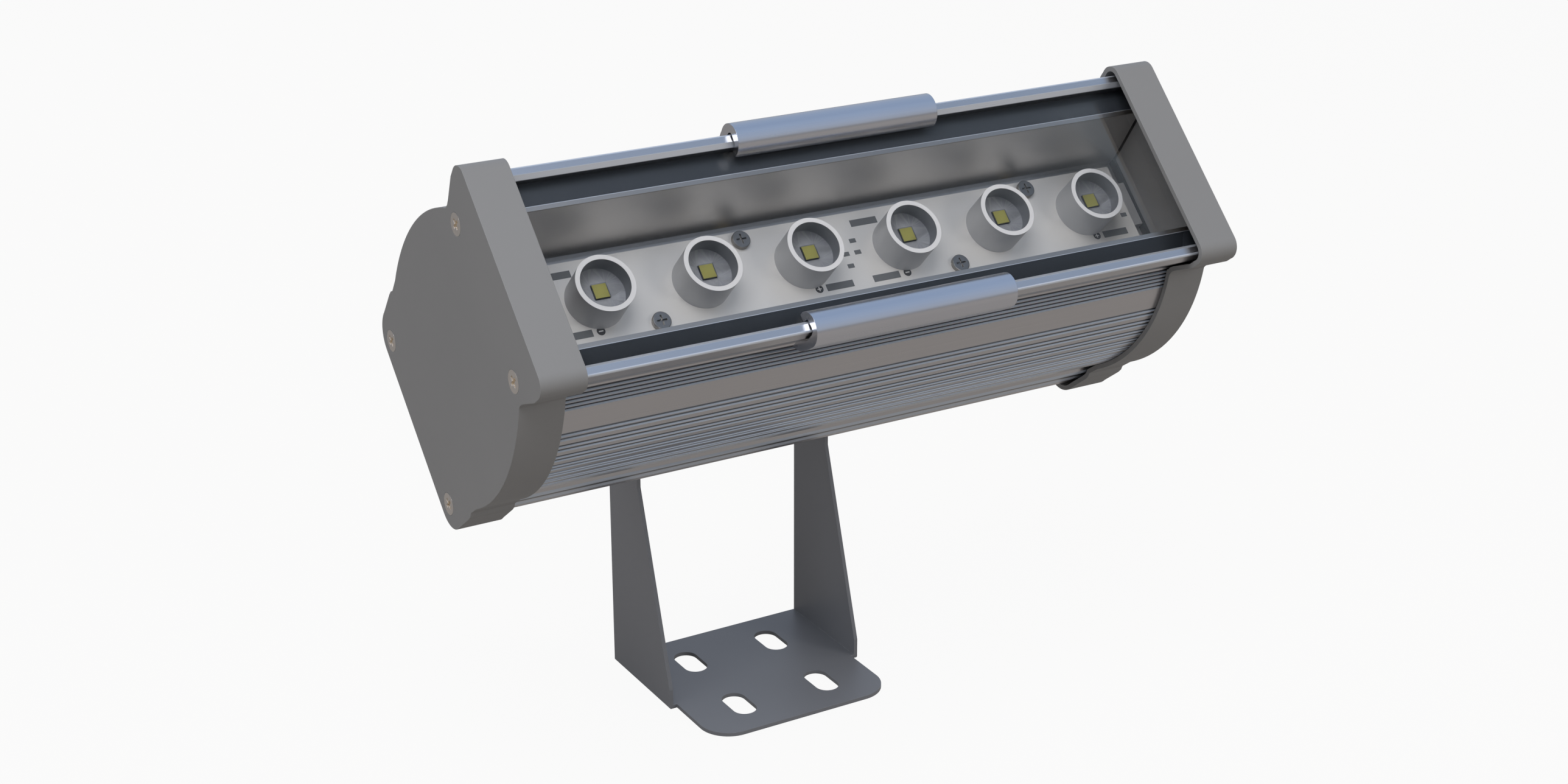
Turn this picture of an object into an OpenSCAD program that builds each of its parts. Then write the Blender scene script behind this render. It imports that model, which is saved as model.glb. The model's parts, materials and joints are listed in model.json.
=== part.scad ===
// Outdoor wall washer light: an extruded aluminium housing with two cast end caps,
// six lensed lamps behind a pane of glass, and a folded bracket that it tilts on.
// Origin: centre of the base plate's underside. +X runs along the lamp, the lit side faces -Y.
// Sections of the lamp are drawn as [depth behind the caps' front plane, distance across the glass].

/* [Lamp] */
// Length over the two end caps
lamp_len = 289.2; // [270:0.1:400]
// Tilt of the glass above the level at rest
rest_tilt = 45; // [0:1:90]

/* [End caps] */
// Length of an end cap along the lamp
cap_len = 17; // [14:0.1:24]
// Thickness of the cap's rim
cap_wall = 1.9; // [1.4:0.1:2.6]
// Thickness of the cap's end plate
cap_plate = 5; // [4:0.1:7]
// Depth of a cap from its front plane to its rear plane
cap_depth = 120.8; // [116:0.1:130]
// Half the width across the caps' bulging flanks
flank_half = 51.1; // [50:0.1:54]
// Radius of the flanks
flank_r = 72; // [70:0.5:80]
// Half the width across the front ears
ear_half = 43.85; // [43:0.05:46]
// Radius of the ears' front corners
ear_r = 5.6; // [4:0.1:7]
// Half the width at the neck behind the ears
neck_half = 38.5; // [38:0.1:39.5]
// Half the width across the rear lobes
lobe_half = 46; // [45:0.1:48]
// Radius of the rear corners
lobe_r = 10.4; // [8:0.1:12]
// Length of the rear lobes, from the notch to the rear plane
lobe_len = 25.3; // [22:0.1:27]

/* [Cap screws] */
// Radius of the screws' shanks
cap_screw_r = 2; // [1.5:0.1:2.4]
// Radius of the countersunk heads
cap_head_r = 4.15; // [3.4:0.05:4.8]
// Length of the screws
cap_screw_len = 18; // [14:0.5:24]
// Across the glass: half the distance between the front pair
front_port_half = 30.17; // [29.5:0.01:31]
// Depth of the front pair
front_port_d = 20.14; // [19:0.01:21]
// Half the distance between the rear pair
rear_port_half = 33.7; // [33:0.1:34.4]
// Distance of the rear pair from the caps' rear plane
rear_port_back = 7.43; // [7:0.01:9]

/* [Housing profile] */
// Gap between the profile's crests and the caps' rims
cap_gap = 0.1; // [0.05:0.05:0.3]
// How far the profile's rear face lies inside the caps' rear plane
rear_inset = 3.2; // [2.4:0.1:3.6]
// Half the width at the neck behind the rails
profile_neck_half = 35.6; // [35:0.1:36.4]
// Thickness of the flanks' skin
skin = 3.5; // [2.6:0.1:5]
// Depth of a cooling groove
groove_deep = 0.9; // [0.4:0.1:1.6]
// Width of a fine groove at its mouth
fine_w = 1.45; // [1:0.05:1.5]
// Spacing of the fine grooves beside the rail
fine_pitch = 1.67; // [1.6:0.01:1.9]
// Number of fine grooves beside the rail
fine_count = 5; // [1:1:6]
// Width of a paired groove at its mouth
pair_w = 1.8; // [1:0.1:1.9]
// Spacing of the grooves' pairs, along the flank
pair_pitch = 5.9; // [5:0.1:6.2]
// Number of grooves' pairs on a flank
pair_count = 7; // [1:1:7]
// Distance between the two grooves of a pair
pair_gap = 2.2; // [2:0.1:3]

/* [Glass and rails] */
// Depth of the glass's outer face
glass_front = 7.5; // [7.3:0.1:8.5]
// Thickness of the glass
glass_t = 3; // [2:0.1:4]
// Half the width of the glass
glass_half = 36.2; // [36:0.1:36.4]
// Depth of the rails' front facets
rail_front = 4.45; // [3.8:0.05:5]
// Half the width across the rails
rail_half = 40.05; // [39.9:0.05:40.3]
// Half the width between the rails' lips
lip_half = 35.4; // [34:0.1:35.8]
// Thickness of the seal's leg under the lip
seal_front = 1.1; // [0.6:0.1:1.5]
// Thickness of the seal's leg behind the glass
seal_back = 1; // [0.6:0.1:1.5]
// Half the width between the inner edges of the seal's rear legs
seal_in_half = 27.5; // [27:0.1:30]

/* [Sliding sleeves] */
// Length of a sleeve
sleeve_len = 84; // [40:1:110]
// Radius of the sleeve's round front
sleeve_r = 6.4; // [6.2:0.1:6.6]
// Gap between a sleeve and what it slides over
sleeve_gap = 0.3; // [0.2:0.05:0.5]

/* [Light chamber] */
// Half the width between the ledges that carry the glass
chamber_half = 25.6; // [24:0.1:26]
// Half the width at the chamber's floor
floor_half = 20; // [18:0.1:22]
// Depth of the circuit board's front face
board_front = 35.65; // [34:0.05:40]
// Thickness of the circuit board
board_t = 1.6; // [1:0.1:2.4]
// Half the width of the circuit board
board_half = 16.6; // [15.5:0.1:17.5]
// Thickness of the thermal pad
pad_t = 0.25; // [0.1:0.05:0.8]
// Half the width of the raised floor under the board
pedestal_half = 9.4; // [8:0.1:9.4]
// Depth of the side channels beside the raised floor
channel_deep = 3; // [1:0.1:5]
// Thickness of the web between the chamber and the driver's bay
web_t = 3.5; // [2:0.1:6]
// Space between the profile's left end and the board
board_gap_left = 18.37; // [14:0.01:24]
// Space between the board and the profile's right end
board_gap_right = 5.47; // [3:0.01:10]

/* [Lenses] */
// Outer radius of a collimator's tube
lens_r = 11; // [9.5:0.1:12]
// Wall of the tube
lens_wall = 1.73; // [1:0.01:2.5]
// Height of the tube above the board
lens_h = 13.35; // [11:0.05:16]
// Thickness of the tube's floor
lens_floor = 2.3; // [1.5:0.1:3]
// Side of an LED package
led_side = 5.3; // [3:0.1:6]
// Height of an LED package above the board
led_h = 3.6; // [3:0.1:5]

/* [Board screws] */
// Radius of the screws' shanks
board_screw_r = 2; // [1.5:0.1:2.2]
// Radius of the cheese heads
board_head_r = 3.5; // [3:0.1:3.8]
// Half the distance between the two rows
board_screw_half = 12.7; // [12.6:0.1:12.9]

/* [Bracket] */
// Thickness of the sheet
sheet_t = 1.6; // [1.2:0.1:3]
// Half the width over the bracket's arms
arm_half = 44.9; // [44:0.1:52]
// Half the depth of the base plate
plate_half_depth = 41.65; // [38:0.05:50]
// Half the width of the base plate's front part
tongue_half = 41.7; // [34:0.1:42]
// Radius of the plate's front corners
tongue_r = 13; // [4:0.5:16]
// Front edge of the arms at the base plate, measured towards the lit side
arm_front = 8.5; // [4:0.5:12]
// Height at which the arms' front edges start to slant
arm_kick = 8.5; // [4:0.5:20]
// Radius of the arms' round ends
arm_end_r = 12.65; // [11:0.05:14]
// Height of the tilt pivot above the mounting face
pivot_height = 110.35; // [105:0.05:140]
// Distance of the tilt pivot behind the caps' rear plane
pivot_back = 44; // [36:0.5:60]
// Width of a mounting slot
slot_w = 10; // [6:0.1:12]
// Length of a mounting slot
slot_len = 18.8; // [14:0.1:22]
// Half the distance between the slots across the plate
slot_half_x = 19.56; // [18:0.01:24]
// Half the distance between the slots along the plate's depth
slot_half_y = 20.9; // [18:0.1:22]

/* [Pivot] */
// Radius of the pivot bolts
pivot_r = 4; // [3:0.1:5]
// Running clearance of the bolts in the yoke's ears
pivot_fit = 0.05; // [0.02:0.01:0.1]
// Thickness of a friction disc
disc_t = 1; // [0.5:0.1:2]
// Thickness of a washer
washer_t = 1.6; // [1:0.1:2.4]
// Distance across the flats of the bolts' heads and nuts
pivot_flats = 13; // [11:0.5:16]

/* [Yoke] */
// Thickness of the yoke's sheet
yoke_t = 2; // [1.5:0.1:3]
// Half the width of the yoke's plate across the glass
yoke_half = 27; // [25:0.5:30]
// Half the distance between the profile's two T-slots
tslot_half = 18; // [16:0.5:18]
// Half the distance between the yoke's screws along the lamp
yoke_screw_half = 26; // [14:0.5:30]
// Radius of the yoke's screws
yoke_screw_r = 2.5; // [2:0.1:3]

/* [Cable gland] */
// Radius of the gland's thread
gland_r = 8; // [6:0.1:8]
// Distance across the flats of the gland
gland_flats = 20; // [18:0.5:24]
// Radius of the hole for a cable
cable_r = 3.5; // [2.5:0.1:4]

/* [Driver] */
// Length of the driver's board
driver_len = 150; // [120:1:200]
// Half the width of the driver's board
driver_half = 26; // [20:0.5:32]
// Height of the stand-offs
standoff_h = 8; // [5:0.5:12]

/* [Hidden] */
$fn = 72;

// Overrun of every cut past the face it opens
over = 1;

// Outline of the end caps
ear_side = 10;
ear_draft = 0.65;
ear_foot = 19.2;
ear_step = 0.6;
neck_front = 21.2;
neck_back = 23.4;
lead_len = 7.5;
lead_in = 4.4;
lead_half = flank_half - lead_in;
notch_in = 0.7;
notch_half = lobe_half - notch_in;
lobe_rise = 1.8;
lobe_land = 2.2;
lobe_taper = 1.6;
lobe_rear_half = lobe_half - lobe_taper;
notch_d = cap_depth - lobe_len;
flank_axis = flank_half - flank_r;
flank_shift = 4.55;
flank_mid = (neck_back + notch_d) / 2 + flank_shift;

// Lengths along the lamp
gasket_t = 1.5;
cap_in = lamp_len / 2 - cap_plate;
profile_end = cap_in - gasket_t;

// Cap screws
port_gap = 0.05;
head_gap = 0.1;
head_cone = cap_head_r - cap_screw_r;
drive_l = 4.4;
drive_w = 1.2;
drive_deep = 1.3;
rear_port_d = cap_depth - rear_port_back;

// Profile
crest_r = flank_r - cap_wall - cap_gap;
profile_rear = cap_depth - rear_inset;
flank_front = 22.6;
crest_start = acos((flank_front - flank_mid) / crest_r);
deg_per_mm = 180 / (PI * crest_r);
fine_first = 1.55;
groove_lean = 0.3;
pair_first = 20.9;
rail_corner_r = 0.8;
rail_side_end = 9.6;
rail_foot = 15.2;
rail_foot_half = 38.1;
rail_neck = 16.6;
lip_flat_half = 36.85;
lip_edge = 0.4;
crest_join = 25.6;
seal_side = 1;
groove_half = glass_half + seal_side;
lip_back = glass_front - seal_front;
glass_back = glass_front + glass_t;
ledge_gap = 0.1;
floor_d = board_front + board_t + pad_t;
channel_d = floor_d + channel_deep;
bay_front = channel_d + web_t;
rear_wall = 11.6;
bay_rear = profile_rear - rear_wall;

// T-slots in the rear face
tslot_open = yoke_screw_r + 0.25;
tslot_in = 4.25;
tslot_lip = 2.2;
tslot_deep = 6.2;
slide_nut_half = 4.1;
slide_nut_t = 3.6;

// Sleeves
sleeve_axis_d = 6.6;
sleeve_axis_half = 38.25;
sleeve_bore_gap = 0.85;
sleeve_tip_d = 20.7;
sleeve_x = 1.2;
sleeve_foot_gap = 0.2;
sleeve_hook = 0.5;
// Outer side of a sleeve's leg, as shares of the leg's length and of its drop
leg_shares = [[0, 0], [0.287, 0.106], [0.589, 0.319], [0.73, 0.461], [0.83, 0.66], [1, 1]];

// Lenses and board
lens_count = 6;
board_x0 = -profile_end + board_gap_left;
board_x1 = profile_end - board_gap_right;
lens_pitch = (board_x1 - board_x0) / lens_count;
lens_rim = board_front - lens_h;
lens_gap = 0.1;
lens_sunk = 0.15;
led_gap = 0.3;
spacer_r = 3.1;
board_head_h = 1.8;
board_hole_gap = 0.15;
spacer_bore_gap = 0.05;

// Bracket and pivot
bend_r = 0.6;
pivot_y = plate_half_depth - arm_end_r;
pivot_d = cap_depth + pivot_back;
arm_hole_gap = 0.2;
arm_in = arm_half - sheet_t;
ear_out = arm_in - disc_t;
ear_in = ear_out - yoke_t;
waist_drop = 21.35;
bolt_head_h = 5.3;
bolt_dish = 0.4;
nut_h = 6.5;
washer_r = 8;
disc_in = 0.65;
disc_r = arm_end_r - disc_in;
face_gap = 0.05;
bolt_tip = 2;

// Yoke
yoke_bend_r = 2.5;
yoke_ear_half = 20;
yoke_head_r = 4.6;
yoke_head_h = 3;
yoke_hole_gap = 0.25;

// Cable gland, on the right end cap
gland_d = 60;
gland_flange_h = 5;
gland_nut_h = 14;
gland_nut_t = 4;
gland_thread_out = 7;
gland_hole_gap = 0.1;
gland_bush_r = 6;
gland_lip = 1.2;

// Driver
driver_t = 1.6;
standoff_r = 3;
driver_edge = 5;
driver_front = bay_front + standoff_h;
driver_back = driver_front + driver_t;
m3_r = 1.5;
m3_head_r = 2.8;
m3_head_h = 2;

// Wires between the two boards
wire_r = 0.9;
wire_half = 1.1;
wire_bend_r = 4;
grommet_r = 3.6;
grommet_bore = 2.6;
grommet_flange_r = 4.8;
grommet_flange_t = 1;
wire_out = 7;
wire_x = board_x0 - wire_out;
wire_on_board = 2.5;
driver_x = wire_x - driver_edge + driver_len / 2;

// Colours
cap_grey = [0.50, 0.50, 0.51];
bright_alu = [0.74, 0.76, 0.80];
sheet_grey = [0.40, 0.41, 0.43];
rubber_black = [0.16, 0.18, 0.20];
steel = [0.66, 0.65, 0.63];
board_white = [0.86, 0.87, 0.88];

// Places the lamp's own frame, x along it, y = depth and z = across the glass, on the pivot
module lamp() {
    translate([0, pivot_y, pivot_height])
        rotate([-rest_tilt, 0, 0])
            translate([0, -pivot_d, 0])
                children();
}

// Extrudes a section along the lamp from x0 to x1
module along(x0, x1) {
    translate([x0, 0, 0])
        rotate([90, 0, 90])
            linear_extrude(height = x1 - x0)
                children();
}

// Turns a piece made along +Z so that it runs towards the rear, from a point of the lamp
module rearwards(x, d, u) {
    translate([x, d, u])
        rotate([-90, 0, 0])
            children();
}

// Turns a piece made along +Z so that it runs along +X, from a point
module endwards(x, d, u) {
    translate([x, d, u])
        rotate([0, 90, 0])
            children();
}

// Points of half an outline, listed clockwise above the middle plane, for the side +1 or -1
function turned(points, side) = side < 0
    ? [for (p = points) [p[0], -p[1]]]
    : [for (i = [len(points) - 1 : -1 : 0]) points[i]];

// Circle of a section at a depth and a distance across, on one side
module spot(d, u, side, r) {
    translate([d, side * u])
        circle(r = r);
}

// Rectangle of a section from depth d0 to d1 and from u0 to u1 across, on one side
module patch(d0, d1, u0, u1, side) {
    translate([d0, side > 0 ? u0 : -u1])
        square([d1 - d0, u1 - u0]);
}

module ring(r_out, r_in, h) {
    difference() {
        cylinder(h = h, r = r_out);
        translate([0, 0, -over])
            cylinder(h = h + 2 * over, r = r_in);
    }
}

// Hexagonal prism by its distance across the flats
module hex(flats, h) {
    cylinder(h = h, r = flats / sqrt(3), $fn = 6);
}

// Flat head with a bevelled rim and a crossed recess, its seat at z = 0 and its top towards -Z
module cross_head(r, h) {
    bevel = h * 0.12;
    recess_w = r * 0.2;
    recess_l = r * 1.15;
    difference() {
        union() {
            translate([0, 0, -h])
                cylinder(h = bevel, r1 = r - bevel, r2 = r);
            translate([0, 0, bevel - h])
                cylinder(h = h - bevel, r = r);
        }
        for (a = [0, 90])
            rotate(a)
                translate([-recess_l / 2, -recess_w / 2, -h - over])
                    cube([recess_l, recess_w, h * 0.5 + over]);
    }
}

// Rear lobe of the section, shrunk by inset
module lobe_section(inset, side) {
    spot(cap_depth - lobe_r, lobe_rear_half - lobe_r, side, lobe_r - inset);
    polygon(turned([
        [notch_d - lead_len, -over],
        [notch_d - lead_len, lead_half - inset],
        [notch_d, notch_half - inset],
        [notch_d + lobe_rise, lobe_half - inset],
        [notch_d + lobe_rise + lobe_land, lobe_half - inset],
        [cap_depth - lobe_r, lobe_rear_half - inset],
        [cap_depth - inset, lobe_rear_half - lobe_r],
        [cap_depth - inset, -over]
    ], side));
}

// Bulging flank of the section, shrunk by inset, from one depth to another
module flank_section(inset, d0, d1, side) {
    intersection() {
        spot(flank_mid, flank_axis, side, flank_r - inset);
        patch(d0, d1, -over, flank_half + over, side);
    }
}

// Outline of an end cap, shrunk by inset
module cap_section(inset) {
    for (side = [1, -1]) {
        flank_section(inset, neck_front, notch_d, side);
        lobe_section(inset, side);
        spot(ear_r, ear_half - ear_r, side, ear_r - inset);
        polygon(turned([
            [inset, -over],
            [inset, ear_half - ear_r],
            [ear_r, ear_half - inset],
            [ear_side, ear_half - ear_draft - inset],
            [ear_foot, neck_half + ear_step - inset],
            [neck_front, neck_half - inset],
            [neck_back, neck_half - inset],
            [neck_back, -over]
        ], side));
    }
}

// Rail along one edge of the glass, down to where the flank starts
module rail_section(side) {
    spot(rail_front + rail_corner_r, rail_half - rail_corner_r, side, rail_corner_r);
    polygon(turned([
        [lip_back - lip_edge, lip_half],
        [rail_front, lip_flat_half],
        [rail_front, rail_half - rail_corner_r],
        [rail_front + rail_corner_r, rail_half],
        [rail_side_end, rail_half],
        [rail_foot, rail_foot_half],
        [rail_neck, profile_neck_half],
        [crest_join, profile_neck_half],
        [crest_join, -over],
        [glass_front, -over],
        [glass_front, lip_half]
    ], side));
}

// Cooling groove of width w at a distance s along the flank, narrower at its floor
module flank_groove(s, w, side) {
    mouth = w / 2;
    bed = mouth - groove_lean;
    translate([flank_mid, side * flank_axis])
        rotate(side * (crest_start - s * deg_per_mm))
            polygon([
                [crest_r - groove_deep, -bed],
                [crest_r, -mouth],
                [crest_r + over, -mouth],
                [crest_r + over, mouth],
                [crest_r, mouth],
                [crest_r - groove_deep, bed]
            ]);
}

// Space for the glass, its seals, the light and the circuit board
module chamber_section(side) {
    polygon(turned([
        [lip_back, -over],
        [lip_back, groove_half],
        [glass_back + seal_back, groove_half],
        [glass_back + seal_back, seal_in_half],
        [glass_back + ledge_gap, seal_in_half],
        [glass_back + ledge_gap, chamber_half],
        [floor_d, floor_half],
        [channel_d, floor_half],
        [channel_d, pedestal_half],
        [floor_d, pedestal_half],
        [floor_d, -over]
    ], side));
}

// Bay for the driver, behind the web
module bay_section(side) {
    lobe_in = notch_half - rear_inset - skin;
    intersection() {
        spot(flank_mid, flank_axis, side, crest_r - skin);
        union() {
            patch(bay_front, notch_d - lead_len - skin, -over, flank_half, side);
            patch(bay_front, bay_rear, -over, lobe_in, side);
        }
    }
}

// T-slot in the rear face
module tslot_section(side) {
    patch(profile_rear - tslot_lip - over, profile_rear + over, tslot_half - tslot_open,
          tslot_half + tslot_open, side);
    patch(profile_rear - tslot_deep, profile_rear - tslot_lip, tslot_half - tslot_in,
          tslot_half + tslot_in, side);
}

module profile_section() {
    difference() {
        union()
            for (side = [1, -1]) {
                flank_section(flank_r - crest_r, flank_front, notch_d, side);
                lobe_section(rear_inset, side);
                rail_section(side);
            }
        for (side = [1, -1]) {
            chamber_section(side);
            bay_section(side);
            tslot_section(side);
            for (i = [0 : fine_count - 1])
                flank_groove(fine_first + i * fine_pitch, fine_w, side);
            for (i = [0 : pair_count - 1], twin = [-1, 1])
                flank_groove(pair_first + i * pair_pitch + twin * pair_gap / 2, pair_w, side);
            spot(front_port_d, front_port_half, side, cap_screw_r + port_gap);
            spot(rear_port_d, rear_port_half, side, cap_screw_r + port_gap);
        }
    }
}

module housing_profile() {
    color(bright_alu)
        lamp()
            difference() {
                along(-profile_end, profile_end)
                    profile_section();
                rearwards(wire_x, floor_d - over, 0)
                    cylinder(h = bay_front - floor_d + 2 * over, r = grommet_r + port_gap);
            }
}

// Places something at each of the four cap screws, given as [depth, across]
module at_ports() {
    for (u = [-1, 1]) {
        translate([0, front_port_d, u * front_port_half])
            children();
        translate([0, rear_port_d, u * rear_port_half])
            children();
    }
}

// End cap with its cup open towards -X, its outer face at x = 0
module cap_body() {
    difference() {
        along(-cap_len, 0)
            cap_section(0);
        along(-cap_len - over, -cap_plate)
            cap_section(cap_wall);
        at_ports()
            endwards(-cap_plate - over, 0, 0)
                cylinder(h = cap_plate + 2 * over, r = cap_screw_r + head_gap);
        at_ports()
            endwards(-head_cone, 0, 0)
                cylinder(h = head_cone + head_gap, r1 = cap_screw_r + head_gap,
                         r2 = cap_head_r + 2 * head_gap);
    }
}

module end_cap_left() {
    color(cap_grey)
        lamp()
            mirror([1, 0, 0])
                translate([lamp_len / 2, 0, 0])
                    cap_body();
}

module end_cap_right() {
    color(cap_grey)
        lamp()
            difference() {
                translate([lamp_len / 2, 0, 0])
                    cap_body();
                endwards(cap_in - over, gland_d, 0)
                    cylinder(h = cap_plate + 2 * over, r = gland_r + gland_hole_gap);
            }
}

// Flat gasket that seals a cap to the profile's end, with windows for the two bays
module gasket_body() {
    difference() {
        along(profile_end, cap_in)
            difference() {
                cap_section(cap_wall + cap_gap);
                polygon([
                    [glass_back + ledge_gap, -chamber_half],
                    [floor_d, -floor_half],
                    [floor_d, floor_half],
                    [glass_back + ledge_gap, chamber_half]
                ]);
                for (side = [1, -1])
                    bay_section(side);
            }
        at_ports()
            endwards(profile_end - over, 0, 0)
                cylinder(h = gasket_t + 2 * over, r = cap_screw_r + head_gap);
    }
}

module cap_gasket_left() {
    color(rubber_black)
        lamp()
            mirror([1, 0, 0])
                gasket_body();
}

module cap_gasket_right() {
    color(rubber_black)
        lamp()
            gasket_body();
}

// Countersunk screw with a crossed recess, its flat face at x = 0 and its tip towards -X
module cap_screw() {
    difference() {
        union() {
            endwards(-cap_screw_len, 0, 0)
                cylinder(h = cap_screw_len - head_cone, r = cap_screw_r);
            endwards(-head_cone, 0, 0)
                cylinder(h = head_cone, r1 = cap_screw_r, r2 = cap_head_r);
        }
        for (size = [[drive_l, drive_w], [drive_w, drive_l]])
            translate([-drive_deep, -size[0] / 2, -size[1] / 2])
                cube([drive_deep + over, size[0], size[1]]);
    }
}

module cap_screws_left() {
    color(steel)
        lamp()
            mirror([1, 0, 0])
                translate([lamp_len / 2, 0, 0])
                    at_ports()
                        cap_screw();
}

module cap_screws_right() {
    color(steel)
        lamp()
            translate([lamp_len / 2, 0, 0])
                at_ports()
                    cap_screw();
}

module front_glass() {
    color([0.75, 0.82, 0.85, 0.35])
        lamp()
            translate([-profile_end, glass_front, -glass_half])
                cube([2 * profile_end, glass_t, 2 * glass_half]);
}

// Channel-shaped seal round one long edge of the glass
module seal_body() {
    along(-profile_end, profile_end)
        polygon([
            [lip_back, lip_half],
            [lip_back, groove_half],
            [glass_back + seal_back, groove_half],
            [glass_back + seal_back, seal_in_half],
            [glass_back, seal_in_half],
            [glass_back, glass_half],
            [glass_front, glass_half],
            [glass_front, lip_half]
        ]);
}

module glass_seal_upper() {
    color(rubber_black)
        lamp()
            seal_body();
}

module glass_seal_lower() {
    color(rubber_black)
        lamp()
            mirror([0, 0, 1])
                seal_body();
}

// Round-fronted sleeve that wraps a rail, with a D-shaped bore
module sleeve_section() {
    foot = glass_front - sleeve_foot_gap;
    gap = sleeve_bore_gap;
    side = sleeve_axis_half + sleeve_r;
    inner = rail_foot_half - sleeve_hook;
    leg = sleeve_tip_d - sleeve_axis_d;
    difference() {
        union() {
            translate([sleeve_axis_d, sleeve_axis_half])
                circle(r = sleeve_r);
            polygon(turned(concat(
                [[sleeve_axis_d, sleeve_axis_half]],
                [for (p = leg_shares) [sleeve_axis_d + p[0] * leg, side - p[1] * (side - inner)]],
                [[rail_neck, inner]]
            ), 1));
        }
        polygon(turned([
            [foot, lip_half - sleeve_gap],
            [rail_front, lip_half - sleeve_gap],
            [rail_front - gap / 2, lip_flat_half - gap],
            [rail_front - gap, rail_half - 1.5 * rail_corner_r],
            [rail_front - gap / 2, rail_half + gap / 3],
            [rail_front + gap, rail_half + gap],
            [rail_side_end, rail_half + gap],
            [rail_foot, rail_foot_half + sleeve_gap],
            [rail_neck, inner],
            [sleeve_tip_d + over, inner],
            [sleeve_tip_d + over, lip_half - sleeve_r],
            [foot, lip_half - sleeve_r]
        ], 1));
    }
}

module sleeve_body() {
    along(sleeve_x - sleeve_len / 2, sleeve_x + sleeve_len / 2)
        sleeve_section();
}

module rail_sleeve_upper() {
    color(bright_alu)
        lamp()
            sleeve_body();
}

module rail_sleeve_lower() {
    color(bright_alu)
        lamp()
            mirror([0, 0, 1])
                sleeve_body();
}

// Distance along the lamp of lens number i, counted from 1
function lens_x(i) = board_x0 + (i - 0.5) * lens_pitch;

// Places of the board's screws: on the border of two lenses, on alternate sides, as [x, across]
board_holes = [
    for (i = [1 : lens_count - 1]) if (i % 3 != 0)
        [board_x0 + i * lens_pitch, (i % 3 == 1 ? -1 : 1) * board_screw_half]
];

module led_board() {
    color(board_white)
        lamp()
            difference() {
                translate([board_x0, board_front, -board_half])
                    cube([board_x1 - board_x0, board_t, 2 * board_half]);
                for (p = board_holes)
                    rearwards(p[0], board_front - over, p[1])
                        cylinder(h = board_t + 2 * over, r = board_screw_r + board_hole_gap);
            }
}

module thermal_pad() {
    color([0.55, 0.62, 0.72])
        lamp()
            translate([board_x0, board_front + board_t, -pedestal_half])
                cube([board_x1 - board_x0, pad_t, 2 * pedestal_half]);
}

module board_screws() {
    color(steel)
        lamp()
            for (p = board_holes)
                rearwards(p[0], board_front, p[1]) {
                    cross_head(board_head_r, board_head_h);
                    cylinder(h = board_t + channel_deep * 0.8, r = board_screw_r);
                }
}

module board_spacers() {
    color([0.80, 0.66, 0.36])
        lamp()
            for (p = board_holes)
                rearwards(p[0], board_front + board_t, p[1])
                    ring(spacer_r, board_screw_r + spacer_bore_gap, pad_t + channel_deep);
}

module led_packages() {
    color([0.78, 0.76, 0.30])
        lamp()
            for (i = [1 : lens_count])
                translate([lens_x(i) - led_side / 2, board_front - led_h, -led_side / 2])
                    cube([led_side, led_h, led_side]);
}

// Tube with a floor that a square window opens for the LED
module collimator(i) {
    window = led_side + 2 * led_gap;
    color([0.80, 0.80, 0.80])
        lamp()
            difference() {
                rearwards(lens_x(i), lens_rim, 0)
                    cylinder(h = lens_h, r = lens_r);
                rearwards(lens_x(i), lens_rim - over, 0)
                    cylinder(h = lens_h - lens_floor + over, r = lens_r - lens_wall);
                translate([lens_x(i) - window / 2, lens_rim, -window / 2])
                    cube([window, lens_h + over, window]);
            }
}

module collimator_1() { collimator(1); }
module collimator_2() { collimator(2); }
module collimator_3() { collimator(3); }
module collimator_4() { collimator(4); }
module collimator_5() { collimator(5); }
module collimator_6() { collimator(6); }

// Clear optic that fills a tube, hollowed over the LED
module lens(i) {
    pocket = led_side + 2 * led_gap;
    pocket_h = led_h - lens_floor + led_gap;
    color([0.85, 0.88, 0.90, 0.4])
        lamp()
            difference() {
                rearwards(lens_x(i), lens_rim + lens_sunk, 0)
                    cylinder(h = lens_h - lens_floor - lens_sunk, r = lens_r - lens_wall - lens_gap);
                translate([lens_x(i) - pocket / 2, board_front - lens_floor - pocket_h, -pocket / 2])
                    cube([pocket, pocket_h + over, pocket]);
            }
}

module lens_1() { lens(1); }
module lens_2() { lens(2); }
module lens_3() { lens(3); }
module lens_4() { lens(4); }
module lens_5() { lens(5); }
module lens_6() { lens(6); }

// Two wires from the LED board, over its end and through the web into the driver's bay
module board_wires() {
    wire_d = board_front - wire_r;
    wire_end = driver_front;
    color([0.75, 0.15, 0.12])
        lamp()
            for (side = [-1, 1]) {
                translate([wire_x + wire_bend_r, wire_d, side * wire_half])
                    rotate([0, 90, 0])
                        cylinder(h = board_x0 + wire_on_board - wire_x - wire_bend_r, r = wire_r);
                translate([wire_x + wire_bend_r, wire_d + wire_bend_r, side * wire_half])
                    rotate([0, 0, 180])
                        rotate_extrude(angle = 90)
                            translate([wire_bend_r, 0])
                                circle(r = wire_r);
                rearwards(wire_x, wire_d + wire_bend_r, side * wire_half)
                    cylinder(h = wire_end - wire_d - wire_bend_r, r = wire_r);
            }
}

module wire_grommet() {
    color(rubber_black)
        lamp()
            difference() {
                union() {
                    rearwards(wire_x, floor_d - grommet_flange_t, 0)
                        cylinder(h = grommet_flange_t, r = grommet_flange_r);
                    rearwards(wire_x, floor_d - grommet_flange_t, 0)
                        cylinder(h = bay_front - floor_d + grommet_flange_t, r = grommet_r);
                }
                rearwards(wire_x, floor_d - grommet_flange_t - over, 0)
                    cylinder(h = bay_front - floor_d + grommet_flange_t + 2 * over, r = grommet_bore);
            }
}

// Places something at the driver board's four corners
module at_driver_corners(d) {
    for (x = [-1, 1], u = [-1, 1])
        rearwards(driver_x + x * (driver_len / 2 - driver_edge), d, u * (driver_half - driver_edge))
            children();
}

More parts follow.
